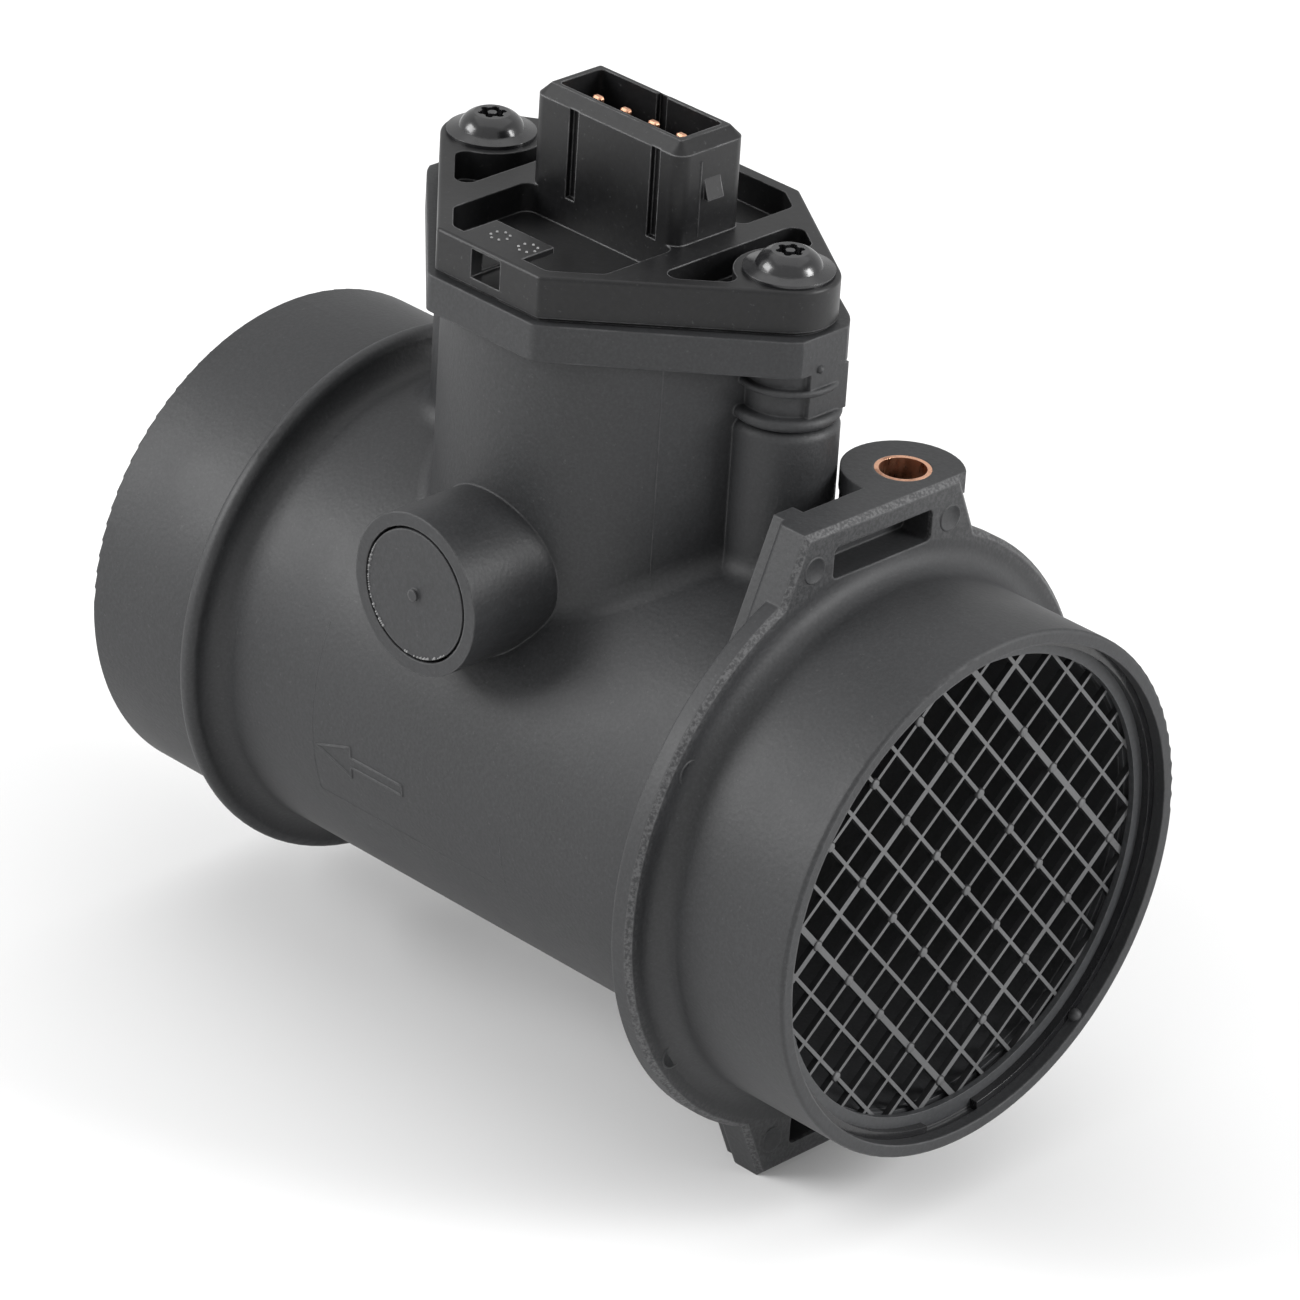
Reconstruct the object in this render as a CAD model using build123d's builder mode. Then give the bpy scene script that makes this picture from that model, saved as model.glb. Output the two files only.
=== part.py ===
from build123d import *
import os
from math import cos, hypot, radians, sin

# Mass airflow sensor: a moulded duct with a sensor tower, a clipped inlet flange and a screened inlet.
# X runs along the duct, with air entering at +X; Z points up through the tower and the connector.
# The origin is on the duct axis at the middle of the inlet hose seat. Lengths are millimetres.

# Duct
inlet_neck_d = 72.0
inlet_neck_length = 21.4
outlet_neck_d = 70.0
outlet_neck_length = 20.3
duct_length = 130.3
body_d = 66.4
bore_d = 61.2
inlet_wall = 1.8
outlet_wall = 2.0
flange_d = 83.0
flange_t = 3.2
flange_root_r = 3.0
bead_d = 75.8
bead_t = 2.6
bead_root_r = 3.0
bead_lip_r = 1.2
edge_r = 0.5
front_chamfer = 0.7
bellmouth_length = 11.0

# Inlet screen, its frame and its spring ring
screen_recess = 3.0
frame_depth = 2.6
frame_width = 2.4
frame_clearance = 0.15
mesh_pitch = 4.83
mesh_bar = 0.5
mesh_strong_bar = 0.85
mesh_strong_step = 4
mesh_t = 0.9
mesh_angle = 41.0
mesh_shift_y = 1.3
mesh_shift_z = -1.3
mesh_seat = 0.8
ring_t = 1.2
ring_width = 1.5
ring_seat = 0.5
ring_gap_angle = 16.0

# Clip brackets on the inlet flange, and the ear with its bushing
bracket_top_half = 13.9
bracket_foot_half = 24.0
bracket_height = 46.3
bracket_root = 22.0
bracket_depth = 5.5
cheek_depth = 1.8
cheek_width = 3.4
cheek_inset = 1.3
slot_width = 17.8
slot_height = 4.4
slot_bottom = 38.9
slot_corner_r = 0.8
slot_depth = 4.8
ear_r = 8.0
ear_y = 9.7
ear_setback = 6.3
ear_t = 3.0
gusset_spacing = 8.0
gusset_t = 1.6
gusset_length = 7.0
gusset_edge = 2.2
gusset_foot = 2.5
bushing_d = 7.4
bushing_bore_d = 6.2

# Sensor tower
tower_from_rim = 67.6
screw_spacing = 53.8
column_offset = 1.1
column_d = 50.2
column_back = 18.0
column_wall = 2.8
boss_d = 14.2
boss_neck_d = 11.2
boss_shoulder_r = 1.3
boss_ring_d = 14.4
boss_ring_t = 1.6
boss_ring_drop = 6.1
boss_ring_gap = 0.2
boss_rib_d = 13.4
boss_rib_t = 0.9
boss_rib_drop = 2.2
tower_root_r = 3.0
seat_z = 65.5
seat_plate_t = 5.0
seat_margin = 0.9
seat_end_r = 7.2
seat_half_length = 34.0
tab_width = 6.7
tab_y = 1.2
tab_drop = 6.3
tab_t = 1.9

# Side stub with its plug
stub_d = 21.9
stub_reach = 37.2
stub_z = 27.7
stub_root_y = 15.0
plug_d = 17.4
plug_gap = 0.4
plug_t = 2.6
plug_pip_d = 1.6
plug_pip_h = 0.5
stub_bore_d = 12.0
stub_bore_depth = 6.0

# Cover plate
cover_t = 6.2
cover_end_r = 6.6
cover_front = 26.2
cover_front_half = 9.8
cover_back = 18.8
cover_back_half = 11.1
cover_corner_r = 0.9
cover_edge_r = 0.5
cover_step = 0.6
cover_rim = 2.0
pocket_depth = 4.0
pocket_corner_r = 1.6
rib_width = 4.0
pad_r = 7.0
shelf_length = 10.4
shelf_width = 5.6
shelf_t = 0.9
shelf_x = -1.2
window_width = 5.2
window_height = 3.9
window_x = -0.3
window_depth = 6.0
spigot_height = 6.0
spigot_wall = 2.2
spigot_clearance = 0.25
gasket_height = 1.8
gasket_depth = 1.1
gasket_drop = 1.8

# Connector
shroud_x = 0.5
shroud_length = 26.4
shroud_width = 11.8
shroud_wall = 2.1
shroud_end_wall = 2.3
shroud_top = 85.5
shroud_y = -1.0
shroud_floor_t = 1.2
shroud_corner_r = 1.8
shroud_inner_r = 0.8
shroud_chamfer = 1.5
keyway_width = 1.6
keyway_depth = 0.8
keyway_xs = (-5.8, 8.8)
key_slot_width = 1.8
key_slot_depth = 0.7
latch_width = 2.8
latch_height = 2.7
latch_proud = 0.9
latch_drop = 5.5
pin_pitch = 5.0
pin_count = 4
pin_width = 1.6
pin_t = 1.0
pin_tip_r = 0.45
pin_below_top = 1.6
pin_slot_clearance = 0.05

# Screws and threaded inserts
screw_d = 4.0
screw_hole_d = 4.4
screw_length = 14.0
screw_head_d = 8.6
screw_head_h = 1.9
screw_shoulder_d = 7.3
screw_shoulder_h = 1.1
screw_crown_d = 4.8
screw_flange_d = 11.8
screw_flange_t = 0.9
socket_core_d = 2.9
socket_lobe_d = 1.0
socket_lobe_at = 1.4
socket_depth = 1.4
socket_pin_d = 1.2
insert_d = 6.2
insert_length = 8.0
insert_groove = 1.2
insert_groove_depth = 0.5
insert_relief = 8.0

# Measuring module inside the tower and the duct
probe_length = 22.0
probe_width = 12.0
probe_reach = 15.0
probe_nose_r = 5.0
probe_tip_r = 2.0
probe_clearance = 0.4
bypass_width = 6.4
bypass_height = 9.0
bay_length = 31.0
bay_width = 20.0
bay_bottom = 38.2
bay_wall = 2.0
hanger_t = 3.0
hanger_gap = 0.2
collar_margin = 2.6
seal_t = 1.5
seal_width = 2.0
board_length = 25.0
board_height = 17.0
board_t = 1.2
board_lift = 0.4
pin_overlap = 3.5
heat_sink_t = 1.6
lid_t = 1.2
lid_seat = 0.9
lid_clearance = 0.1
chip_length = 7.0
chip_height = 6.2
chip_t = 0.7
chip_seat = 0.8
thermistor_d = 2.6
thermistor_lead_d = 0.6
thermistor_lead = 4.4
thermistor_lead_gap = 1.2
thermistor_lead_seat = 1.5
thermistor_z = 10.0

# Places that follow from the sizes above
rim_x = inlet_neck_length / 2
flange_x = -inlet_neck_length / 2
outlet_x = rim_x - duct_length
bead_x = outlet_x + outlet_neck_length + bead_t
tower_x = rim_x - tower_from_rim
column_x = tower_x + column_offset
bore_r = bore_d / 2
body_r = body_d / 2
inlet_bore_r = inlet_neck_d / 2 - inlet_wall
outlet_bore_r = outlet_neck_d / 2 - outlet_wall
frame_front_x = rim_x - screen_recess
frame_seat_x = frame_front_x - frame_depth
frame_outer_r = inlet_bore_r - frame_clearance
frame_inner_r = frame_outer_r - frame_width
mesh_x = frame_seat_x + frame_depth / 2 - mesh_t / 2
mesh_r = frame_inner_r + mesh_seat
ring_outer_r = inlet_bore_r + ring_seat
ear_x = flange_x - ear_setback
seat_under_z = seat_z - seat_plate_t
cover_top = seat_z + cover_t
floor_z = cover_top - pocket_depth
spigot_inset = column_wall + spigot_clearance
hanger_inset = spigot_inset + spigot_wall + hanger_gap
screw_xs = (tower_x - screw_spacing / 2, tower_x + screw_spacing / 2)
boss_xs = (column_x - screw_spacing / 2, column_x + screw_spacing / 2)
connector_x = tower_x + shroud_x
probe_bottom = -probe_reach
collar_z = bay_bottom - seal_t
bay_top = seat_z - hanger_t
bay_pocket_length = bay_length - 2 * bay_wall
bay_pocket_bottom = bay_bottom + bay_wall
bay_pocket_height = bay_top - bay_wall - bay_pocket_bottom
board_bottom = bay_pocket_bottom + board_lift
pin_bottom = board_bottom + board_height - pin_overlap
board_y = shroud_y + pin_t / 2
heat_sink_y = board_y + board_t
pocket_floor_y = heat_sink_y + heat_sink_t
pin_xs = [connector_x + (i - (pin_count - 1) / 2) * pin_pitch for i in range(pin_count)]
pin_top = shroud_top - pin_below_top
chip_top = bypass_height / 2 + chip_seat


def level(z, x=tower_x, y=0.0):
    """A horizontal plane at height z, centred on the tower unless told otherwise."""
    return Plane((x, y, z))


def facing_front(y, z, x=tower_x):
    """An upright plane that looks towards -Y, with its own x along X and its own y along Z."""
    return Plane((x, y, z), x_dir=(1, 0, 0), z_dir=(0, -1, 0))


def across(x):
    """A plane across the duct at x, with its own x along Y and its own y along Z."""
    return Plane((x, 0, 0), x_dir=(0, 1, 0), z_dir=(1, 0, 0))


def at_tower_root(edge):
    """True for the edges where the column and the screw bosses rise out of the duct's wall."""
    ends = [edge.position_at(t) for t in (0, 0.5, 1)]
    on_wall = all(abs(hypot(p.Y, p.Z) - body_r) < 0.01 and p.Z > 0 for p in ends)
    return on_wall and abs(ends[1].X - column_x) < (screw_spacing + boss_d) / 2


def at_bracket_back(edge):
    """True for the slanted edges at the back of the clip brackets."""
    middle = edge.position_at(0.5)
    behind = abs(middle.X - (flange_x - bracket_depth)) < 0.01
    return behind and abs(middle.Y) > bracket_top_half and abs(middle.Z) > flange_d / 3


def at_flange_front(edge):
    """True for the outer edges of the flange's front face, round the brackets too."""
    ends = [edge.position_at(t) for t in (0, 0.5, 1)]
    return all(abs(p.X - flange_x) < 0.01 and hypot(p.Y, p.Z) > flange_d / 2 - 0.01 for p in ends)


def cover_outline(margin=0.0, end_r=cover_end_r):
    """The cover's six-sided outline, grown by margin: round ends about the screws, cut corners."""
    front = cover_corner_r - cover_front
    back = cover_back - cover_corner_r
    with BuildSketch(mode=Mode.PRIVATE) as outline:
        with Locations((-screw_spacing / 2, 0), (screw_spacing / 2, 0)):
            Circle(end_r)
        for half, y in ((cover_front_half - cover_corner_r, front), (cover_back_half - cover_corner_r, back)):
            with Locations((-half, y), (half, y)):
                Circle(cover_corner_r)
        make_hull()
        if margin:
            offset(amount=margin, kind=Kind.INTERSECTION, mode=Mode.REPLACE)
    return outline.sketch


def column_outline(inset=0.0):
    """The tower column's round section, flat at the back, drawn inset from its outer face."""
    with BuildSketch(mode=Mode.PRIVATE) as outline:
        with Locations((column_offset, 0)):
            Circle(column_d / 2 - inset)
        with Locations((column_offset, column_back - inset)):
            Rectangle(column_d, column_d, align=(Align.CENTER, Align.MIN), mode=Mode.SUBTRACT)
    return outline.sketch


def probe_outline(margin=0.0):
    """The probe's section, with its nose and tail rounded for the air."""
    with BuildSketch(mode=Mode.PRIVATE) as outline:
        RectangleRounded(probe_length + 2 * margin, probe_width + 2 * margin, probe_nose_r + margin)
    return outline.sketch


# Space inside the tower: it stops at the duct's wall, with a collar left standing round the probe
with BuildPart() as tower_cavity:
    with BuildSketch(level(0)):
        add(column_outline(column_wall))
    extrude(amount=seat_z)
    with BuildSketch(Plane.YZ.offset(tower_x - column_d)):
        Circle(body_r)
    extrude(amount=2 * column_d, mode=Mode.SUBTRACT)
    with BuildSketch(level(0)):
        add(probe_outline(probe_clearance + collar_margin))
    extrude(amount=collar_z, mode=Mode.SUBTRACT)

# Housing: duct, flange, brackets, ear, tower and stub in one moulding
with BuildPart() as housing:
    with BuildSketch(Plane.XZ):
        with BuildLine():
            FilletPolyline(
                (rim_x, 0),
                (rim_x, inlet_neck_d / 2),
                (flange_x, inlet_neck_d / 2),
                (flange_x, flange_d / 2),
                (flange_x - flange_t, flange_d / 2),
                (flange_x - flange_t, body_r),
                (bead_x, body_r),
                (bead_x, bead_d / 2),
                (bead_x - bead_t, bead_d / 2),
                (bead_x - bead_t, outlet_neck_d / 2),
                (outlet_x, outlet_neck_d / 2),
                (outlet_x, 0),
                radius=(0, edge_r, flange_root_r, 0, edge_r, edge_r, bead_root_r, bead_lip_r,
                        bead_lip_r, edge_r, edge_r, 0),
                close=True,
            )
        make_face()
    revolve(axis=Axis.X)

    with BuildSketch(level(0)):
        add(column_outline())
    extrude(amount=seat_under_z)
    ring_top = seat_under_z - boss_ring_drop
    ring_base = ring_top - boss_ring_t
    rib_top = seat_under_z - boss_rib_drop
    for x in boss_xs:
        with BuildSketch(facing_front(0, 0, x)):
            with BuildLine():
                FilletPolyline(
                    (0, 0),
                    (boss_d / 2, 0),
                    (boss_d / 2, ring_base - boss_ring_gap),
                    (boss_neck_d / 2, ring_base - boss_ring_gap),
                    (boss_neck_d / 2, ring_base),
                    (boss_ring_d / 2, ring_base),
                    (boss_ring_d / 2, ring_top),
                    (boss_neck_d / 2, ring_top),
                    (boss_neck_d / 2, rib_top - boss_rib_t),
                    (boss_rib_d / 2, rib_top - boss_rib_t),
                    (boss_rib_d / 2, rib_top),
                    (boss_neck_d / 2, rib_top),
                    (boss_neck_d / 2, seat_under_z),
                    (0, seat_under_z),
                    radius=(0, 0, boss_shoulder_r, 0, 0, boss_ring_t * 0.45, boss_ring_t * 0.45, 0, 0,
                            boss_rib_t * 0.4, boss_rib_t * 0.4, 0, 0, 0),
                    close=True,
                )
            make_face()
        revolve(axis=Axis((x, 0, 0), (0, 0, 1)))
    fillet([edge for edge in housing.edges() if at_tower_root(edge)], radius=tower_root_r)

    # The seat plate under the cover has flat ends, each with a tab that hangs over the boss
    with BuildSketch(level(seat_under_z)):
        add(cover_outline(seat_margin, seat_end_r))
        Rectangle(2 * seat_half_length, 4 * cover_front, mode=Mode.INTERSECT)
    extrude(amount=seat_plate_t)
    with BuildSketch(level(seat_under_z)):
        with Locations((seat_half_length - tab_t / 2, tab_y), (tab_t / 2 - seat_half_length, tab_y)):
            Rectangle(tab_t, tab_width)
    extrude(amount=-tab_drop)

    with BuildSketch(facing_front(-stub_reach, stub_z, column_x)):
        Circle(stub_d / 2)
    extrude(amount=stub_root_y - stub_reach)

    for side in (1, -1):
        with BuildSketch(across(flange_x)):
            with BuildLine():
                Polyline(
                    (-bracket_foot_half, side * bracket_root),
                    (-bracket_top_half, side * bracket_height),
                    (bracket_top_half, side * bracket_height),
                    (bracket_foot_half, side * bracket_root),
                    close=True,
                )
            make_face()
        extrude(amount=-bracket_depth)
    fillet([edge for edge in housing.edges() if at_bracket_back(edge)], radius=cheek_inset * 0.9)
    chamfer([edge for edge in housing.edges() if at_flange_front(edge)], length=front_chamfer)
    for side in (1, -1):
        with BuildSketch(across(flange_x - bracket_depth)):
            for end in (1, -1):
                with BuildLine():
                    Polyline(
                        (end * (bracket_foot_half - cheek_inset), side * bracket_root),
                        (end * (bracket_top_half - cheek_inset), side * bracket_height),
                        (end * (bracket_top_half - cheek_inset - cheek_width), side * bracket_height),
                        (end * (bracket_foot_half - cheek_inset - cheek_width), side * bracket_root),
                        close=True,
                    )
                make_face()
        extrude(amount=-cheek_depth)
        with BuildSketch(across(flange_x)):
            with Locations((0, side * (slot_bottom + slot_height / 2))):
                RectangleRounded(slot_width, slot_height, slot_corner_r)
        extrude(amount=-slot_depth, mode=Mode.SUBTRACT)

    # Ear behind the upper bracket, on two gussets that run down to the duct
    with BuildSketch(Plane.XY.offset(bracket_height)):
        with Locations((ear_x, ear_y)):
            Circle(ear_r)
        with Locations((flange_x - front_chamfer, ear_y)):
            Rectangle(ear_r, 4 * ear_r, align=(Align.MIN, Align.CENTER), mode=Mode.SUBTRACT)
    extrude(amount=-ear_t)
    with BuildSketch(Plane.XY.offset(bracket_height)):
        with Locations((ear_x, ear_y)):
            Circle(bushing_d / 2)
    extrude(amount=-ear_t, mode=Mode.SUBTRACT)
    gusset_x = flange_x - bracket_depth
    gusset_top = bracket_height - ear_t
    for y in (ear_y - gusset_spacing / 2, ear_y + gusset_spacing / 2):
        with BuildSketch(facing_front(y, 0, gusset_x)):
            with BuildLine():
                Polyline(
                    (0, bore_r),
                    (0, gusset_top),
                    (-gusset_length, gusset_top),
                    (-gusset_length, gusset_top - gusset_edge),
                    (-gusset_foot, body_r),
                    (-gusset_foot, bore_r),
                    close=True,
                )
            make_face()
        extrude(amount=gusset_t / 2, both=True)

    # The air path, the space inside the tower and the holes
    with BuildSketch(Plane.XZ):
        with BuildLine():
            Polyline(
                (rim_x, 0),
                (rim_x, inlet_bore_r),
                (frame_seat_x, inlet_bore_r),
                (frame_seat_x, frame_inner_r),
                (frame_seat_x - bellmouth_length, bore_r),
                (bead_x, bore_r),
                (bead_x - bead_t, outlet_bore_r),
                (outlet_x, outlet_bore_r),
                (outlet_x, 0),
                close=True,
            )
        make_face()
    revolve(axis=Axis.X, mode=Mode.SUBTRACT)
    with BuildSketch(across(frame_front_x)):
        Circle(ring_outer_r)
    extrude(amount=ring_t, mode=Mode.SUBTRACT)
    add(tower_cavity.part, mode=Mode.SUBTRACT)
    with BuildSketch(level(collar_z)):
        add(probe_outline(probe_clearance))
    extrude(amount=-collar_z, mode=Mode.SUBTRACT)
    for x in screw_xs:
        with BuildSketch(level(seat_z, x)):
            Circle(insert_d / 2)
        extrude(amount=-insert_length, mode=Mode.SUBTRACT)
        with BuildSketch(level(seat_z - insert_length, x)):
            Circle(screw_hole_d / 2)
        extrude(amount=-insert_relief, mode=Mode.SUBTRACT)
    with BuildSketch(facing_front(-stub_reach, stub_z, column_x)):
        Circle(plug_d / 2 + plug_gap)
    extrude(amount=-plug_t, mode=Mode.SUBTRACT)
    with BuildSketch(facing_front(-stub_reach + plug_t, stub_z, column_x)):
        Circle(stub_bore_d / 2)
    extrude(amount=-stub_bore_depth, mode=Mode.SUBTRACT)
housing.part.label = "housing"

# Cover: a rebated plate with a raised rim, ribs and screw pads, the connector shroud and a spigot below
with BuildPart() as sensor_cover:
    with BuildSketch(level(seat_z)):
        add(cover_outline(-cover_step))
    extrude(amount=cover_step)
    with BuildSketch(level(seat_z + cover_step)):
        add(cover_outline())
    extrude(amount=cover_t - cover_step)
    top_edges = sensor_cover.faces().sort_by(Axis.Z)[-1].edges()
    fillet(top_edges, radius=cover_edge_r)

    # Sunk panels leave the rim, a rib on each side of the shroud, the screw pads and the shelf
    rib_xs = (shroud_x - (shroud_length + rib_width) / 2, shroud_x + (shroud_length + rib_width) / 2)
    with BuildSketch(level(floor_z)):
        add(cover_outline(-cover_rim))
        with Locations((rib_xs[0], 0), (rib_xs[1], 0)):
            Rectangle(rib_width, 4 * cover_front, mode=Mode.SUBTRACT)
        with Locations((-screw_spacing / 2, 0), (screw_spacing / 2, 0)):
            Circle(pad_r, mode=Mode.SUBTRACT)
        with Locations((shroud_x, shroud_y)):
            Rectangle(shroud_length, shroud_width, mode=Mode.SUBTRACT)
        fillet(vertices(), radius=pocket_corner_r)
    extrude(amount=pocket_depth, mode=Mode.SUBTRACT)
    with BuildSketch(level(cover_top)):
        with Locations((shelf_x, cover_rim / 2 - cover_front)):
            Rectangle(shelf_length, shelf_width + cover_rim / 2, align=(Align.CENTER, Align.MIN))
    extrude(amount=-shelf_t)
    with BuildSketch(facing_front(-cover_front, floor_z - shelf_t / 2)):
        with Locations((window_x, window_height / 2)):
            Rectangle(window_width, window_height)
    extrude(amount=-window_depth, mode=Mode.SUBTRACT)

    # Spigot in the column, with the groove for its sealing ring
    with BuildSketch(level(seat_z)):
        add(column_outline(spigot_inset))
        add(column_outline(spigot_inset + spigot_wall), mode=Mode.SUBTRACT)
    extrude(amount=-spigot_height)
    with BuildSketch(level(seat_z - gasket_drop)):
        add(column_outline(spigot_inset))
        add(column_outline(spigot_inset + gasket_depth), mode=Mode.SUBTRACT)
    extrude(amount=-gasket_height, mode=Mode.SUBTRACT)

    # Shroud
    with BuildSketch(level(floor_z, connector_x, shroud_y)):
        RectangleRounded(shroud_length, shroud_width, shroud_corner_r)
    extrude(amount=shroud_top - floor_z)
    ridge = sensor_cover.faces().sort_by(Axis.Z)[-1].edges()
    chamfer(ridge, length=shroud_chamfer)
    shroud_front = shroud_y - shroud_width / 2
    with BuildSketch(level(cover_top, connector_x)):
        for x in keyway_xs:
            with Locations((x, shroud_front)):
                Rectangle(keyway_width, 2 * keyway_depth)
    extrude(amount=shroud_top - shroud_chamfer - cover_top, mode=Mode.SUBTRACT)
    plug_width = shroud_width - 2 * shroud_wall
    with BuildSketch(level(floor_z + shroud_floor_t, connector_x, shroud_y)):
        RectangleRounded(shroud_length - 2 * shroud_end_wall, plug_width, shroud_inner_r)
        with Locations((0, plug_width / 2)):
            Rectangle(key_slot_width, 2 * key_slot_depth)
    extrude(amount=shroud_top - floor_z, mode=Mode.SUBTRACT)

    # Latch wedge on the inlet end of the shroud
    latch_top = shroud_top - latch_drop
    latch_x = connector_x + shroud_length / 2
    with BuildSketch(facing_front(shroud_y - latch_width / 2, 0, 0)):
        with BuildLine():
            Polyline(
                (latch_x - shroud_end_wall / 2, latch_top),
                (latch_x, latch_top),
                (latch_x + latch_proud, latch_top - latch_height),
                (latch_x - shroud_end_wall / 2, latch_top - latch_height),
                close=True,
            )
        make_face()
    extrude(amount=-latch_width)

    # Slots for the terminals and holes for the screws
    with BuildSketch(level(floor_z + shroud_floor_t, connector_x, shroud_y)):
        for x in pin_xs:
            with Locations((x - connector_x, 0)):
                Rectangle(pin_width + 2 * pin_slot_clearance, pin_t + 2 * pin_slot_clearance)
    extrude(amount=seat_z - floor_z - shroud_floor_t, mode=Mode.SUBTRACT)
    for x in screw_xs:
        with BuildSketch(level(seat_z, x)):
            Circle(screw_hole_d / 2)
        extrude(amount=cover_t, mode=Mode.SUBTRACT)
sensor_cover.part.label = "sensor_cover"

# Terminals, screws and threaded inserts: like pieces are made in turn at their own places
os.makedirs("parts", exist_ok=True)
for number, x in enumerate(pin_xs, 1):
    with BuildPart() as contact_pin:
        with BuildSketch(facing_front(shroud_y, 0, x)):
            with BuildLine():
                FilletPolyline(
                    (-pin_width / 2, pin_bottom),
                    (pin_width / 2, pin_bottom),
                    (pin_width / 2, pin_top),
                    (-pin_width / 2, pin_top),
                    radius=(0, 0, pin_tip_r, pin_tip_r),
                    close=True,
                )
            make_face()
        extrude(amount=pin_t / 2, both=True)
        tip = contact_pin.faces().sort_by(Axis.Z)[-1].edges().filter_by(Axis.X)
        chamfer(tip, length=pin_t / 4)
    contact_pin.part.label = f"contact_pin_{number}"
    export_step(contact_pin.part, f"parts/contact_pin_{number}.step")

crown_z = cover_top + screw_flange_t + screw_head_h
for number, x in enumerate(screw_xs, 1):
    with BuildPart() as cover_screw:
        with BuildSketch(facing_front(0, 0, x)):
            with BuildLine():
                Polyline(
                    (0, crown_z),
                    (0, cover_top - screw_length),
                    (screw_d / 2, cover_top - screw_length),
                    (screw_d / 2, cover_top),
                    (screw_flange_d / 2, cover_top),
                    (screw_flange_d / 2, cover_top + screw_flange_t / 2),
                    (screw_head_d / 2, cover_top + screw_flange_t),
                )
                ThreePointArc(
                    (screw_head_d / 2, cover_top + screw_flange_t),
                    (screw_shoulder_d / 2, cover_top + screw_flange_t + screw_shoulder_h),
                    (screw_crown_d / 2, crown_z),
                )
                Line((screw_crown_d / 2, crown_z), (0, crown_z))
            make_face()
        revolve(axis=Axis((x, 0, 0), (0, 0, 1)))
        with BuildSketch(level(crown_z, x)):
            Circle(socket_core_d / 2)
            with PolarLocations(socket_lobe_at, 6):
                Circle(socket_lobe_d / 2)
            Circle(socket_pin_d / 2, mode=Mode.SUBTRACT)
        extrude(amount=-socket_depth, mode=Mode.SUBTRACT)
    cover_screw.part.label = f"cover_screw_{number}"
    export_step(cover_screw.part, f"parts/cover_screw_{number}.step")

for number, x in enumerate(screw_xs, 1):
    with BuildPart() as threaded_insert:
        with BuildSketch(level(seat_z, x)):
            Circle(insert_d / 2)
            Circle(screw_d / 2, mode=Mode.SUBTRACT)
        extrude(amount=-insert_length)
        with BuildSketch(level(seat_z - (insert_length - insert_groove) / 2, x)):
            Circle(insert_d / 2)
            Circle(insert_d / 2 - insert_groove_depth, mode=Mode.SUBTRACT)
        extrude(amount=-insert_groove, mode=Mode.SUBTRACT)
    threaded_insert.part.label = f"threaded_insert_{number}"
    export_step(threaded_insert.part, f"parts/threaded_insert_{number}.step")

# Sealing ring in the spigot's groove
with BuildPart() as cover_gasket:
    with BuildSketch(level(seat_z - gasket_drop)):
        add(column_outline(column_wall))
        add(column_outline(spigot_inset + gasket_depth), mode=Mode.SUBTRACT)
    extrude(amount=-gasket_height)
cover_gasket.part.label = "cover_gasket"

# Plug in the mouth of the side stub, with the pip left by its mould
with BuildPart() as stub_plug:
    with BuildSketch(facing_front(-stub_reach, stub_z, column_x)):
        Circle(plug_d / 2)
    extrude(amount=-plug_t)
    with BuildSketch(facing_front(-stub_reach, stub_z, column_x)):
        Circle(plug_pip_d / 2)
    extrude(amount=plug_pip_h)
stub_plug.part.label = "stub_plug"

# Bushing pressed into the ear
with BuildPart() as ear_bushing:
    with BuildSketch(Plane.XY.offset(bracket_height)):
        with Locations((ear_x, ear_y)):
            Circle(bushing_d / 2)
            Circle(bushing_bore_d / 2, mode=Mode.SUBTRACT)
    extrude(amount=-ear_t)
ear_bushing.part.label = "ear_bushing"

# Screen frame with the groove that holds the mesh
with BuildPart() as screen_frame:
    with BuildSketch(across(frame_seat_x)):
        Circle(frame_outer_r)
        Circle(frame_inner_r, mode=Mode.SUBTRACT)
    extrude(amount=frame_depth)
    with BuildSketch(across(mesh_x)):
        Circle(mesh_r)
        Circle(frame_inner_r, mode=Mode.SUBTRACT)
    extrude(amount=mesh_t, mode=Mode.SUBTRACT)
screen_frame.part.label = "screen_frame"

# Square mesh, turned, with a stronger bar at every few pitches
with BuildPart() as inlet_screen:
    lines = int(mesh_r / mesh_pitch) + 1
    with BuildSketch(across(mesh_x)):
        for turn in (mesh_angle, mesh_angle + 90):
            for line in range(-lines, lines + 1):
                strong = abs(line) == mesh_strong_step
                along = radians(turn + 90)
                y = mesh_shift_y + line * mesh_pitch * cos(along)
                z = mesh_shift_z + line * mesh_pitch * sin(along)
                with Locations(Location((y, z), turn)):
                    Rectangle(4 * mesh_r, mesh_strong_bar if strong else mesh_bar)
        Circle(mesh_r, mode=Mode.INTERSECT)
    extrude(amount=mesh_t)
inlet_screen.part.label = "inlet_screen"

# Split ring that springs into its groove in front of the screen frame
with BuildPart() as retaining_ring:
    gap_y = 2 * ring_outer_r * sin(radians(ring_gap_angle / 2))
    gap_z = -2 * ring_outer_r * cos(radians(ring_gap_angle / 2))
    with BuildSketch(across(frame_front_x)):
        Circle(ring_outer_r)
        Circle(ring_outer_r - ring_width, mode=Mode.SUBTRACT)
        with BuildLine():
            Polyline((0, 0), (gap_y, gap_z), (-gap_y, gap_z), close=True)
        make_face(mode=Mode.SUBTRACT)
    extrude(amount=ring_t)
retaining_ring.part.label = "retaining_ring"

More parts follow.
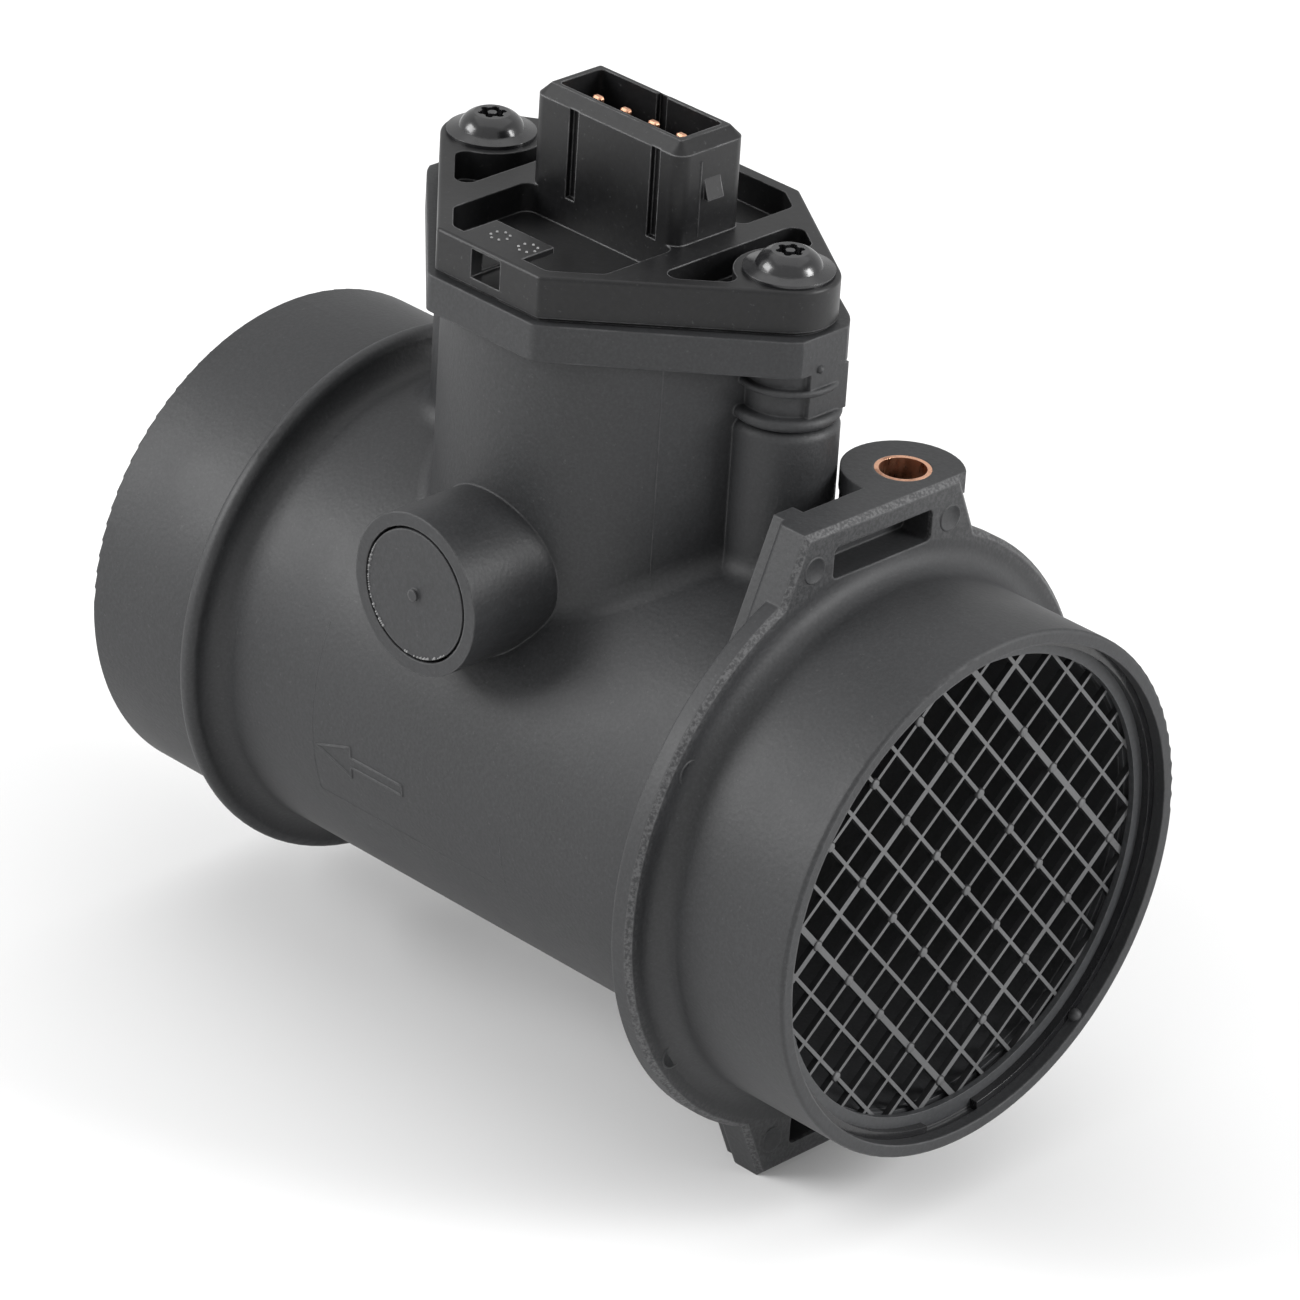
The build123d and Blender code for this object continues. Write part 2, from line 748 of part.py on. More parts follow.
# Sensor carrier: hanger plate, electronics bay and probe
with BuildPart() as sensor_carrier:
    with BuildSketch(level(bay_top)):
        add(column_outline(hanger_inset))
    extrude(amount=hanger_t)
    with BuildSketch(level(bay_bottom)):
        Rectangle(bay_length, bay_width)
    extrude(amount=bay_top - bay_bottom)
    with BuildSketch(level(bay_bottom)):
        add(probe_outline())
    extrude(amount=probe_bottom - bay_bottom)
    tip_edges = sensor_carrier.faces().sort_by(Axis.Z)[0].edges()
    fillet(tip_edges, radius=probe_tip_r)

    # Pocket for the board, with a ledge in its mouth for the lid
    with BuildSketch(facing_front(-bay_width / 2, bay_pocket_bottom + bay_pocket_height / 2)):
        Rectangle(bay_pocket_length, bay_pocket_height)
    extrude(amount=-(bay_width / 2 + pocket_floor_y), mode=Mode.SUBTRACT)
    with BuildSketch(facing_front(-bay_width / 2, bay_pocket_bottom + bay_pocket_height / 2)):
        Rectangle(bay_pocket_length + 2 * lid_seat, bay_pocket_height + 2 * lid_seat)
    extrude(amount=-lid_t, mode=Mode.SUBTRACT)
    with BuildSketch(level(seat_z, connector_x, shroud_y)):
        for x in pin_xs:
            with Locations((x - connector_x, 0)):
                Rectangle(pin_width + 2 * pin_slot_clearance, pin_t + 2 * pin_slot_clearance)
    extrude(amount=bay_pocket_bottom + bay_pocket_height - seat_z, mode=Mode.SUBTRACT)

    # Bypass channel through the probe, and the seats of the two sensing elements
    with BuildSketch(Plane.YZ.offset(tower_x - probe_length)):
        Rectangle(bypass_width, bypass_height)
    extrude(amount=2 * probe_length, mode=Mode.SUBTRACT)
    with BuildSketch(level(0)):
        Rectangle(chip_length, chip_t)
    extrude(amount=chip_top, mode=Mode.SUBTRACT)
    with BuildSketch(across(tower_x + probe_length / 2)):
        with Locations((-thermistor_lead_gap / 2, thermistor_z), (thermistor_lead_gap / 2, thermistor_z)):
            Circle(thermistor_lead_d / 2)
    extrude(amount=-thermistor_lead_seat, mode=Mode.SUBTRACT)
sensor_carrier.part.label = "sensor_carrier"

# Seal on the collar round the probe
with BuildPart() as carrier_seal:
    with BuildSketch(level(collar_z)):
        add(probe_outline(probe_clearance + seal_width))
        add(probe_outline(), mode=Mode.SUBTRACT)
    extrude(amount=seal_t)
carrier_seal.part.label = "carrier_seal"

# Heat sink, circuit board and lid in the bay, from the back to the front
with BuildPart() as heat_sink:
    with BuildSketch(facing_front(heat_sink_y, board_bottom + board_height / 2)):
        Rectangle(board_length, board_height)
    extrude(amount=-heat_sink_t)
heat_sink.part.label = "heat_sink"

with BuildPart() as circuit_board:
    with BuildSketch(facing_front(board_y, board_bottom + board_height / 2)):
        Rectangle(board_length, board_height)
    extrude(amount=-board_t)
circuit_board.part.label = "circuit_board"

with BuildPart() as board_lid:
    lid_grown = 2 * (lid_seat - lid_clearance)
    with BuildSketch(facing_front(-bay_width / 2, bay_pocket_bottom + bay_pocket_height / 2)):
        Rectangle(bay_pocket_length + lid_grown, bay_pocket_height + lid_grown)
    extrude(amount=-lid_t)
board_lid.part.label = "board_lid"

# Hot film element in the bypass, and the air temperature bead on its two leads
with BuildPart() as hot_film_element:
    with BuildSketch(level(chip_top)):
        Rectangle(chip_length, chip_t)
    extrude(amount=-chip_height)
hot_film_element.part.label = "hot_film_element"

with BuildPart() as air_temp_sensor:
    with BuildSketch(across(tower_x + probe_length / 2 - thermistor_lead_seat)):
        with Locations((-thermistor_lead_gap / 2, thermistor_z), (thermistor_lead_gap / 2, thermistor_z)):
            Circle(thermistor_lead_d / 2)
    extrude(amount=thermistor_lead_seat + thermistor_lead)
    with Locations((tower_x + probe_length / 2 + thermistor_lead, 0, thermistor_z)):
        Sphere(thermistor_d / 2)
air_temp_sensor.part.label = "air_temp_sensor"

export_step(housing.part, "parts/housing.step")
export_step(stub_plug.part, "parts/stub_plug.step")
export_step(ear_bushing.part, "parts/ear_bushing.step")
export_step(screen_frame.part, "parts/screen_frame.step")
export_step(inlet_screen.part, "parts/inlet_screen.step")
export_step(retaining_ring.part, "parts/retaining_ring.step")
export_step(sensor_cover.part, "parts/sensor_cover.step")
export_step(cover_gasket.part, "parts/cover_gasket.step")
export_step(sensor_carrier.part, "parts/sensor_carrier.step")
export_step(carrier_seal.part, "parts/carrier_seal.step")
export_step(heat_sink.part, "parts/heat_sink.step")
export_step(circuit_board.part, "parts/circuit_board.step")
export_step(board_lid.part, "parts/board_lid.step")
export_step(hot_film_element.part, "parts/hot_film_element.step")
export_step(air_temp_sensor.part, "parts/air_temp_sensor.step")
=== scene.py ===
import random
from math import cos, hypot, pi, radians, sin

import bmesh
import bpy
from mathutils import Matrix, Vector


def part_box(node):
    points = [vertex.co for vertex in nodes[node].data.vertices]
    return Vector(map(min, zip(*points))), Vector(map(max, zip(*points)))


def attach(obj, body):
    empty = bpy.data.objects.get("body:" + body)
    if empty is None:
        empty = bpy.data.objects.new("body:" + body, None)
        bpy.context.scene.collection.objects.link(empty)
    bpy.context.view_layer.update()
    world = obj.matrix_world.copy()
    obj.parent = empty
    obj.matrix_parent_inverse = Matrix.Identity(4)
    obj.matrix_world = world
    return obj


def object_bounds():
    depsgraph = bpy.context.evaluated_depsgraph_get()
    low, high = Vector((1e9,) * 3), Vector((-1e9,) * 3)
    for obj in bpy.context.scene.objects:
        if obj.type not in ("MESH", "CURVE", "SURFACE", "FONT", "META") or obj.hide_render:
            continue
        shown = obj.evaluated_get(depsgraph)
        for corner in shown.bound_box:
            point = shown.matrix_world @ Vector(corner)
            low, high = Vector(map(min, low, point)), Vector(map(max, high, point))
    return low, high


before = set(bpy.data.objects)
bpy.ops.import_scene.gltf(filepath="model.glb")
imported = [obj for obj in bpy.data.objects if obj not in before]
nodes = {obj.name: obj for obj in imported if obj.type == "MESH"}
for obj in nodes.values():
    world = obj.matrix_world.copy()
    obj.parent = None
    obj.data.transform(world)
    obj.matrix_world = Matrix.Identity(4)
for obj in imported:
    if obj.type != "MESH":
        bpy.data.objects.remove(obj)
cad_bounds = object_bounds()

MM = 0.001

# Places read from the frame, in metres
screen_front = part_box("inlet_screen")[1].x
screen_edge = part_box("inlet_screen")[1].y
plug_low, plug_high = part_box("stub_plug")

# Sizes of the housing's and the cover's surfaces that the frame doesn't give, in metres
BODY_R = 33.2 * MM
INLET_BORE_R = 34.2 * MM
COLUMN_R = 25.1 * MM
COLUMN_X = -55.8 * MM
FLANGE_X = -10.7 * MM
COVER_TOP = 71.7 * MM
SEAT_END_X = -22.9 * MM
SHROUD_END_X = -43.2 * MM

# The chamfer round the front of the flange, painted with a highlight, lies outside this radius and within
# these depths
CHAMFER_R = 39.8 * MM
CHAMFER_FULL_R = 40.2 * MM
CHAMFER_DEEPEST = 0.68 * MM
CHAMFER_SHALLOWEST = 0.03 * MM
CHAMFER_SOFT = 0.04 * MM

# Scales of the noises that every moulded or metal surface shares
MOTTLE_SCALE = 55.0
RUB_SCALE = 240.0
SCUFF_SCALE = 1700.0
TARNISH_SCALE = 420.0

# Colours of worn plastic: scuffs, and worn edges whose light colour is also a painted highlight
WORN_EDGE_HIGHLIGHT = (0.30, 0.30, 0.305)
SCUFF = (0.22, 0.22, 0.22)

# Metal surfaces
METAL_EDGE_R = 0.12 * MM
METAL_EDGE_LIGHT = 0.45
SCRATCH_STRETCH = 0.12
SCRATCH_DEPTH = 0.008 * MM
COAT_ROUGHNESS = 0.12

# Sockets of the Mix node when it mixes colours
MIX_A = 6
MIX_B = 7
MIX_RESULT = 2


# Materials

def new_material(name):
    """An empty node tree with a Principled shader on its output."""
    material = bpy.data.materials.new(name)
    material.use_nodes = True
    tree = material.node_tree
    tree.nodes.clear()
    out = tree.nodes.new("ShaderNodeOutputMaterial")
    shader = tree.nodes.new("ShaderNodeBsdfPrincipled")
    tree.links.new(shader.outputs["BSDF"], out.inputs["Surface"])
    return material, tree, shader


def feed(tree, value, socket):
    """Sets the socket where value is a number or a colour, and links it otherwise."""
    if isinstance(value, (int, float)):
        socket.default_value = value
    elif isinstance(value, tuple):
        socket.default_value = (*value, 1.0)
    else:
        tree.links.new(value, socket)


def noise(tree, vector, scale, detail=2.0, rough=0.5):
    """Soft noise, 0..1."""
    node = tree.nodes.new("ShaderNodeTexNoise")
    node.inputs["Scale"].default_value = scale
    node.inputs["Detail"].default_value = detail
    node.inputs["Roughness"].default_value = rough
    tree.links.new(vector, node.inputs["Vector"])
    return node.outputs["Fac"]


def cells(tree, vector, scale):
    """Distance to the nearest of many scattered points."""
    node = tree.nodes.new("ShaderNodeTexVoronoi")
    node.inputs["Scale"].default_value = scale
    tree.links.new(vector, node.inputs["Vector"])
    return node.outputs["Distance"]


def spread(tree, value, low, high, to_low, to_high):
    """value mapped from low..high onto to_low..to_high."""
    node = tree.nodes.new("ShaderNodeMapRange")
    node.inputs["From Min"].default_value = low
    node.inputs["From Max"].default_value = high
    node.inputs["To Min"].default_value = to_low
    node.inputs["To Max"].default_value = to_high
    tree.links.new(value, node.inputs["Value"])
    return node.outputs["Result"]


def ramp(tree, value, low, high, stops):
    """value mapped from low..high onto colours."""
    node = tree.nodes.new("ShaderNodeValToRGB")
    while len(node.color_ramp.elements) < len(stops):
        node.color_ramp.elements.new(0.5)
    for element, (at, colour) in zip(node.color_ramp.elements, stops):
        element.position = at
        element.color = (*colour, 1.0)
    tree.links.new(spread(tree, value, low, high, 0.0, 1.0), node.inputs["Fac"])
    return node.outputs["Color"]


def maths(tree, operation, a, b):
    """One operation on two values or numbers."""
    node = tree.nodes.new("ShaderNodeMath")
    node.operation = operation
    for value, socket in zip((a, b), node.inputs):
        feed(tree, value, socket)
    return node.outputs["Value"]


def mixed(tree, factor, a, b):
    """Colour a where factor is 0, colour b where it is 1."""
    node = tree.nodes.new("ShaderNodeMix")
    node.data_type = "RGBA"
    feed(tree, factor, node.inputs["Factor"])
    feed(tree, a, node.inputs[MIX_A])
    feed(tree, b, node.inputs[MIX_B])
    return node.outputs[MIX_RESULT]


def soft_edges(tree, radius):
    """Normals rounded over the edges, and a mask that is bright along them."""
    bevel = tree.nodes.new("ShaderNodeBevel")
    bevel.samples = 4
    bevel.inputs["Radius"].default_value = radius
    geometry = tree.nodes.new("ShaderNodeNewGeometry")
    dot = tree.nodes.new("ShaderNodeVectorMath")
    dot.operation = "DOT_PRODUCT"
    tree.links.new(bevel.outputs["Normal"], dot.inputs[0])
    tree.links.new(geometry.outputs["Normal"], dot.inputs[1])
    mask = spread(tree, dot.outputs["Value"], 0.985, 0.90, 0.0, 1.0)
    return bevel.outputs["Normal"], mask


def bumped(tree, height, normal, distance):
    """normal tilted by a height, distance metres at most."""
    node = tree.nodes.new("ShaderNodeBump")
    node.inputs["Distance"].default_value = distance
    tree.links.new(height, node.inputs["Height"])
    tree.links.new(normal, node.inputs["Normal"])
    return node.outputs["Normal"]


def between(tree, value, low, high, soft):
    """1 where value lies between low and high, 0 elsewhere."""
    rise = spread(tree, value, low - soft, low, 0.0, 1.0)
    fall = spread(tree, value, high, high + soft, 1.0, 0.0)
    return maths(tree, "MULTIPLY", rise, fall)


def parts_of(tree, vector):
    """The X, Y and Z of a vector."""
    node = tree.nodes.new("ShaderNodeSeparateXYZ")
    tree.links.new(vector, node.inputs["Vector"])
    return node.outputs


def flange_chamfer(tree, where):
    """1 on the chamfer round the front of the flange and the brackets."""
    x, y, z = parts_of(tree, where)
    squares = maths(tree, "ADD", maths(tree, "MULTIPLY", y, y), maths(tree, "MULTIPLY", z, z))
    radius = maths(tree, "SQRT", squares, 0.0)
    outer = spread(tree, radius, CHAMFER_R, CHAMFER_FULL_R, 0.0, 1.0)
    back, front = FLANGE_X - CHAMFER_DEEPEST, FLANGE_X - CHAMFER_SHALLOWEST
    return maths(tree, "MULTIPLY", outer, between(tree, x, back, front, CHAMFER_SOFT))


def moulded(name, base, light, rough, grain, grain_depth, edge_radius, edge_light, rub=0.0, level=0.5,
            front_face_light=None, chamfer_highlight=None):
    """Moulded plastic: eroded grain, slight flow mottling, worn edges with a painted highlight, faint
    scuffs, and optionally painted light on front faces and on the flange's chamfer.
    """
    material, tree, shader = new_material(name)
    where = tree.nodes.new("ShaderNodeTexCoord").outputs["Object"]
    mottle = noise(tree, where, MOTTLE_SCALE, 4.0, 0.55)
    fine = noise(tree, where, grain, 3.0, 0.6)
    pits = cells(tree, where, grain * 0.62)
    dust = noise(tree, where, SCUFF_SCALE, 2.0, 0.7)
    normal, edges = soft_edges(tree, edge_radius)
    body = ramp(tree, mottle, 0.30, 0.72, ((0.0, base), (1.0, light)))
    speckle = spread(tree, fine, 0.40, 0.75, 0.0, 0.30)
    body = mixed(tree, speckle, body, tuple(min(1.0, 2.2 * c) for c in light))
    patchy = spread(tree, noise(tree, where, RUB_SCALE, 4.0, 0.65), 0.38, 0.66, 0.25, 1.0)
    worn_edge_highlight_mask = maths(tree, "MULTIPLY", edges, patchy)
    # Edges are mixed towards a light colour: partly edge wear, mostly a painted highlight along them
    body = mixed(tree, maths(tree, "MULTIPLY", worn_edge_highlight_mask, edge_light), body, WORN_EDGE_HIGHLIGHT)
    if rub:
        scuffs = spread(tree, dust, 0.66, 0.76, 0.0, rub)
        body = mixed(tree, scuffs, body, SCUFF)
    # Painted light: faces turned towards +X get a lighter colour, so the sides stay darker as painted shade
    if front_face_light:
        facing = tree.nodes.new("ShaderNodeNewGeometry").outputs["Normal"]
        front = spread(tree, parts_of(tree, facing)[0], 0.80, 0.95, 0.0, 1.0)
        uneven = spread(tree, mottle, 0.3, 0.6, 0.65, 1.0)
        body = mixed(tree, maths(tree, "MULTIPLY", front, uneven), body, front_face_light)
    # Painted highlight: the flange's chamfer is lightened as if lit
    if chamfer_highlight:
        uneven = spread(tree, fine, 0.42, 0.60, 0.15, 1.0)
        chamfer_lit = maths(tree, "MULTIPLY", flange_chamfer(tree, where), uneven)
        body = mixed(tree, chamfer_lit, body, chamfer_highlight)
    tree.links.new(body, shader.inputs["Base Color"])
    tree.links.new(spread(tree, mottle, 0.3, 0.7, rough - 0.05, rough + 0.06), shader.inputs["Roughness"])
    relief = maths(tree, "ADD", maths(tree, "MULTIPLY", fine, 0.7), maths(tree, "MULTIPLY", pits, 0.5))
    tree.links.new(bumped(tree, relief, normal, grain_depth), shader.inputs["Normal"])
    shader.inputs["Specular IOR Level"].default_value = level
    return material


def metal(name, base, dark, rough, scratch_scale, coat=0.0, metallic=1.0):
    """Metal with fine drawn scratches, tarnished patches, softened edges and a painted highlight along them.
    """
    material, tree, shader = new_material(name)
    where = tree.nodes.new("ShaderNodeTexCoord").outputs["Object"]
    stretch = tree.nodes.new("ShaderNodeMapping")
    stretch.inputs["Scale"].default_value = (1.0, 1.0, SCRATCH_STRETCH)
    tree.links.new(where, stretch.inputs["Vector"])
    lines = noise(tree, stretch.outputs["Vector"], scratch_scale, 3.0, 0.6)
    patches = noise(tree, where, TARNISH_SCALE, 4.0, 0.6)
    normal, edges = soft_edges(tree, METAL_EDGE_R)
    body = ramp(tree, patches, 0.32, 0.70, ((0.0, dark), (0.5, base), (1.0, base)))
    # Painted highlight: edges are mixed towards a brighter copy of the base colour
    bright = tuple(min(1.0, 1.35 * c + 0.02) for c in base)
    body = mixed(tree, maths(tree, "MULTIPLY", edges, METAL_EDGE_LIGHT), body, bright)
    tree.links.new(body, shader.inputs["Base Color"])
    tree.links.new(spread(tree, lines, 0.3, 0.7, rough - 0.06, rough + 0.10), shader.inputs["Roughness"])
    tree.links.new(bumped(tree, lines, normal, SCRATCH_DEPTH), shader.inputs["Normal"])
    shader.inputs["Metallic"].default_value = metallic
    shader.inputs["Coat Weight"].default_value = coat
    shader.inputs["Coat Roughness"].default_value = COAT_ROUGHNESS
    return material


# The housing's chamfer colour is a painted highlight on the flange's chamfer
housing_plastic = moulded(
    "housing_moulding", base=(0.016, 0.0165, 0.0175), light=(0.023, 0.0235, 0.025), rough=0.54, grain=2300.0,
    grain_depth=0.035 * MM, edge_radius=0.40 * MM, edge_light=0.26, rub=0.10, level=0.45,
    chamfer_highlight=(0.085, 0.085, 0.087))
cover_plastic = moulded(
    "cover_moulding", base=(0.005, 0.005, 0.0055), light=(0.008, 0.008, 0.0085), rough=0.40, grain=1500.0,
    grain_depth=0.012 * MM, edge_radius=0.28 * MM, edge_light=0.75, rub=0.14, level=0.34)
screen_plastic = moulded(
    "screen_moulding", base=(0.026, 0.027, 0.029), light=(0.036, 0.037, 0.039), rough=0.50, grain=1800.0,
    grain_depth=0.010 * MM, edge_radius=0.10 * MM, edge_light=0.35)
carrier_plastic = moulded(
    "carrier_moulding", base=(0.010, 0.010, 0.011), light=(0.016, 0.016, 0.017), rough=0.48, grain=1500.0,
    grain_depth=0.010 * MM, edge_radius=0.20 * MM, edge_light=0.25)
# Light plastic whose colour paints glints and sparkles on the shelf dots and the plug's burr, with some
# scuffing
scuffed_glint_plastic = moulded(
    "scuffed_glint_moulding", base=(0.06, 0.06, 0.062), light=(0.30, 0.30, 0.30), rough=0.45, grain=2600.0,
    grain_depth=0.030 * MM, edge_radius=0.06 * MM, edge_light=0.5, rub=0.6)
# The bars' front faces are painted lighter than their sides, as painted light and shade
screen_bars = moulded(
    "screen_bars", base=(0.010, 0.010, 0.011), light=(0.014, 0.014, 0.015), rough=0.50, grain=1800.0,
    grain_depth=0.010 * MM, edge_radius=0.08 * MM, edge_light=0.2, front_face_light=(0.085, 0.086, 0.088))
rubber = moulded(
    "seal_rubber", base=(0.010, 0.010, 0.010), light=(0.015, 0.015, 0.015), rough=0.78, grain=1300.0,
    grain_depth=0.015 * MM, edge_radius=0.25 * MM, edge_light=0.10)
ceramic = moulded(
    "fired_ceramic", base=(0.62, 0.61, 0.57), light=(0.72, 0.71, 0.67), rough=0.60, grain=2600.0,
    grain_depth=0.006 * MM, edge_radius=0.08 * MM, edge_light=0.05)
black_steel = metal(
    "black_coated_steel", base=(0.010, 0.010, 0.011), dark=(0.006, 0.006, 0.007), rough=0.20,
    scratch_scale=900.0, coat=0.2, metallic=0.0)
copper = metal(
    "copper_alloy", base=(0.78, 0.43, 0.28), dark=(0.40, 0.19, 0.11), rough=0.30, scratch_scale=2400.0)
brass = metal(
    "turned_brass", base=(0.78, 0.60, 0.30), dark=(0.50, 0.36, 0.16), rough=0.30, scratch_scale=2400.0)
aluminium = metal(
    "rolled_aluminium", base=(0.78, 0.79, 0.80), dark=(0.62, 0.63, 0.64), rough=0.34, scratch_scale=3000.0)
epoxy = metal(
    "coated_bead", base=(0.020, 0.020, 0.022), dark=(0.012, 0.012, 0.013), rough=0.22,
    scratch_scale=900.0, coat=0.8, metallic=0.0)

finishes = {
    "housing": housing_plastic,
    "stub_plug": housing_plastic,
    "ear_bushing": copper,
    "screen_frame": screen_plastic,
    "inlet_screen": screen_bars,
    "retaining_ring": black_steel,
    "sensor_cover": cover_plastic,
    "cover_screw_1": black_steel,
    "cover_screw_2": black_steel,
    "threaded_insert_1": brass,
    "threaded_insert_2": brass,
    "cover_gasket": rubber,
    "carrier_seal": rubber,
    "sensor_carrier": carrier_plastic,
    "board_lid": carrier_plastic,
    "heat_sink": aluminium,
    "circuit_board": ceramic,
    "hot_film_element": ceramic,
    "air_temp_sensor": epoxy,
}
PIN_COUNT = 4
for number in range(1, PIN_COUNT + 1):
    finishes[f"contact_pin_{number}"] = copper
for name, material in finishes.items():
    slots = nodes[name].data.materials
    if len(slots) == 0:
        slots.append(material)
    for i in range(len(slots)):
        slots[i] = material


# Small moulded marks, made as meshes that sit on the housing, the screen and the cover

def piece(name, bm, material):
    """Turns bm into an object of its own that belongs to the part."""
    mesh = bpy.data.meshes.new(name)
    bmesh.ops.recalc_face_normals(bm, faces=bm.faces)
    bm.to_mesh(mesh)
    bm.free()
    mesh.materials.append(material)
    for polygon in mesh.polygons:
        polygon.use_smooth = True
    made = bpy.data.objects.new(name, mesh)
    bpy.context.scene.collection.objects.link(made)
    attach(made, "root")


def turned(bm, place, normal, profile, sides=24):
    """Revolves a profile of (radius, height) points about the normal at place."""
    lay = normal.to_track_quat("Z", "Y").to_matrix()
    angles = [2 * pi * i / sides for i in range(sides)]
    rows = []
    for radius, height in profile:
        if radius == 0:
            points = [Vector((0, 0, height))]
        else:
            points = [Vector((radius * cos(a), radius * sin(a), height)) for a in angles]
        rows.append([bm.verts.new(place + lay @ point) for point in points])
    for near, far in zip(rows, rows[1:]):
        for i in range(sides):
            corners = [near[i % len(near)], near[(i + 1) % len(near)]]
            corners += [far[(i + 1) % len(far)], far[i % len(far)]]
            bm.faces.new(list(dict.fromkeys(corners)))


def ridge(bm, points, wrap, width, height, closed=False):
    """A raised line along flat points (u, v); wrap(u, v, lift) bends it onto its surface."""
    count = len(points)
    # Four points across the line, each a share of the width and a lift: its feet lie under the surface
    section = ((-0.5, -0.2 * height), (-0.25, height), (0.25, height), (0.5, -0.2 * height))
    rows = []
    for i, (u, v) in enumerate(points):
        before = points[i - 1] if i or closed else points[i]
        after = points[(i + 1) % count] if i < count - 1 or closed else points[i]
        du, dv = after[0] - before[0], after[1] - before[1]
        length = hypot(du, dv)
        nu, nv = -dv / length, du / length
        rows.append([bm.verts.new(wrap(u + nu * width * side, v + nv * width * side, lift))
                     for side, lift in section])
    for i in range(count if closed else count - 1):
        near, far = rows[i], rows[(i + 1) % count]
        for j in range(len(section) - 1):
            bm.faces.new((near[j], near[j + 1], far[j + 1], far[j]))


def finely(points, step, closed=False):
    """The same line with extra points, so that it can bend round the duct."""
    dense = []
    ends = points[1:] + points[:1] if closed else points[1:]
    for (u0, v0), (u1, v1) in zip(points, ends):
        parts = max(1, round(hypot(u1 - u0, v1 - v0) / step))
        dense += [(u0 + (u1 - u0) * i / parts, v0 + (v1 - v0) * i / parts) for i in range(parts)]
    return dense if closed else dense + [points[-1]]


def on_body(u, v, lift):
    """u along the duct; v round it, measured on its surface from the level of the axis upwards."""
    angle = v / BODY_R
    r = BODY_R + lift
    return Vector((u, -r * cos(angle), r * sin(angle)))


def on_column(u, v, lift):
    """u round the column from its -Y line, measured on its surface; v is the height."""
    angle = u / COLUMN_R
    r = COLUMN_R + lift
    return Vector((COLUMN_X + r * sin(angle), -r * cos(angle), v))


def on_shroud_end(u, v, lift):
    """u along Y and v the height, on the inlet end of the shroud."""
    return Vector((SHROUD_END_X + lift, u, v))


FORWARD = Vector((1, 0, 0))
UPWARD = Vector((0, 0, 1))
STUB_WARD = Vector((0, -1, 0))

# Domes on the screen, at every second crossing of its bars
SCREEN_PITCH = 4.83 * MM
SCREEN_TURN = radians(41.0)
SCREEN_SHIFT = Vector((1.3, -1.3)) * MM
JOINT_REACH = 6
JOINT_EDGE_GAP = 3.5 * MM
JOINT_R = 0.75 * MM
JOINT_PROFILE = ((JOINT_R, -0.35 * MM), (JOINT_R, 0.05 * MM), (0.75 * JOINT_R, 0.20 * MM), (0, 0.24 * MM))
joints = bmesh.new()
for i in range(-JOINT_REACH, JOINT_REACH + 1, 2):
    for j in range(-JOINT_REACH, JOINT_REACH + 1, 2):
        along = Vector((-sin(SCREEN_TURN), cos(SCREEN_TURN))) * i * SCREEN_PITCH
        across = Vector((-cos(SCREEN_TURN), -sin(SCREEN_TURN))) * j * SCREEN_PITCH
        y, z = SCREEN_SHIFT + along + across
        if hypot(y, z) < screen_edge - JOINT_EDGE_GAP:
            turned(joints, Vector((screen_front, y, z)), FORWARD, JOINT_PROFILE, sides=16)
piece("screen_joints", joints, screen_bars)

# Nub on the wall of the inlet, beside the ring
NUB_ANGLE = radians(-50.0)
NUB_X = 9.5 * MM
NUB_PROFILE = ((0.9 * MM, -0.2 * MM), (0.85 * MM, 0.5 * MM), (0.5 * MM, 0.9 * MM), (0, 1.0 * MM))
inward = Vector((0, -cos(NUB_ANGLE), -sin(NUB_ANGLE)))
nub = bmesh.new()
turned(nub, Vector((NUB_X, 0, 0)) - inward * INLET_BORE_R, inward, NUB_PROFILE)
piece("inlet_nub", nub, housing_plastic)

# Outline of the arrow that shows which way the air runs
ARROW_TIP = Vector((-77.2, -4.3)) * MM
ARROW_HEAD = 6.6 * MM
ARROW_LENGTH = 16.4 * MM
ARROW_HEAD_HALF = 2.3 * MM
ARROW_SHAFT_HALF = 0.75 * MM
ARROW_LINE_WIDTH = 0.42 * MM
ARROW_LINE_HEIGHT = 0.13 * MM
half_outline = [(0, 0), (ARROW_HEAD, ARROW_HEAD_HALF), (ARROW_HEAD, ARROW_SHAFT_HALF),
                (ARROW_LENGTH, ARROW_SHAFT_HALF)]
arrow_outline = [(ARROW_TIP.x + u, ARROW_TIP.y + v) for u, v in half_outline]
arrow_outline += [(ARROW_TIP.x + u, ARROW_TIP.y - v) for u, v in reversed(half_outline[1:])]
arrow_points = finely(arrow_outline, 0.7 * MM, closed=True)
arrow = bmesh.new()
ridge(arrow, arrow_points, on_body, ARROW_LINE_WIDTH, ARROW_LINE_HEIGHT, closed=True)
piece("flow_arrow", arrow, housing_plastic)

# Faint edge of the mould's insert round the arrow: its left side, its foot and a short right side
INSERT_LEFT = -77.9 * MM
INSERT_RIGHT = -42.6 * MM
INSERT_TOP = 13.0 * MM
INSERT_FOOT = -12.0 * MM
INSERT_RIGHT_RISE = 9.0 * MM
INSERT_LINE_WIDTH = 0.16 * MM
INSERT_LINE_HEIGHT = 0.03 * MM
insert_outline = [(INSERT_LEFT, INSERT_TOP), (INSERT_LEFT, INSERT_FOOT), (INSERT_RIGHT, INSERT_FOOT),
                  (INSERT_RIGHT, INSERT_FOOT + INSERT_RIGHT_RISE)]
insert_edge = bmesh.new()
ridge(insert_edge, finely(insert_outline, 0.8 * MM), on_body, INSERT_LINE_WIDTH, INSERT_LINE_HEIGHT)
piece("mould_insert_edge", insert_edge, housing_plastic)

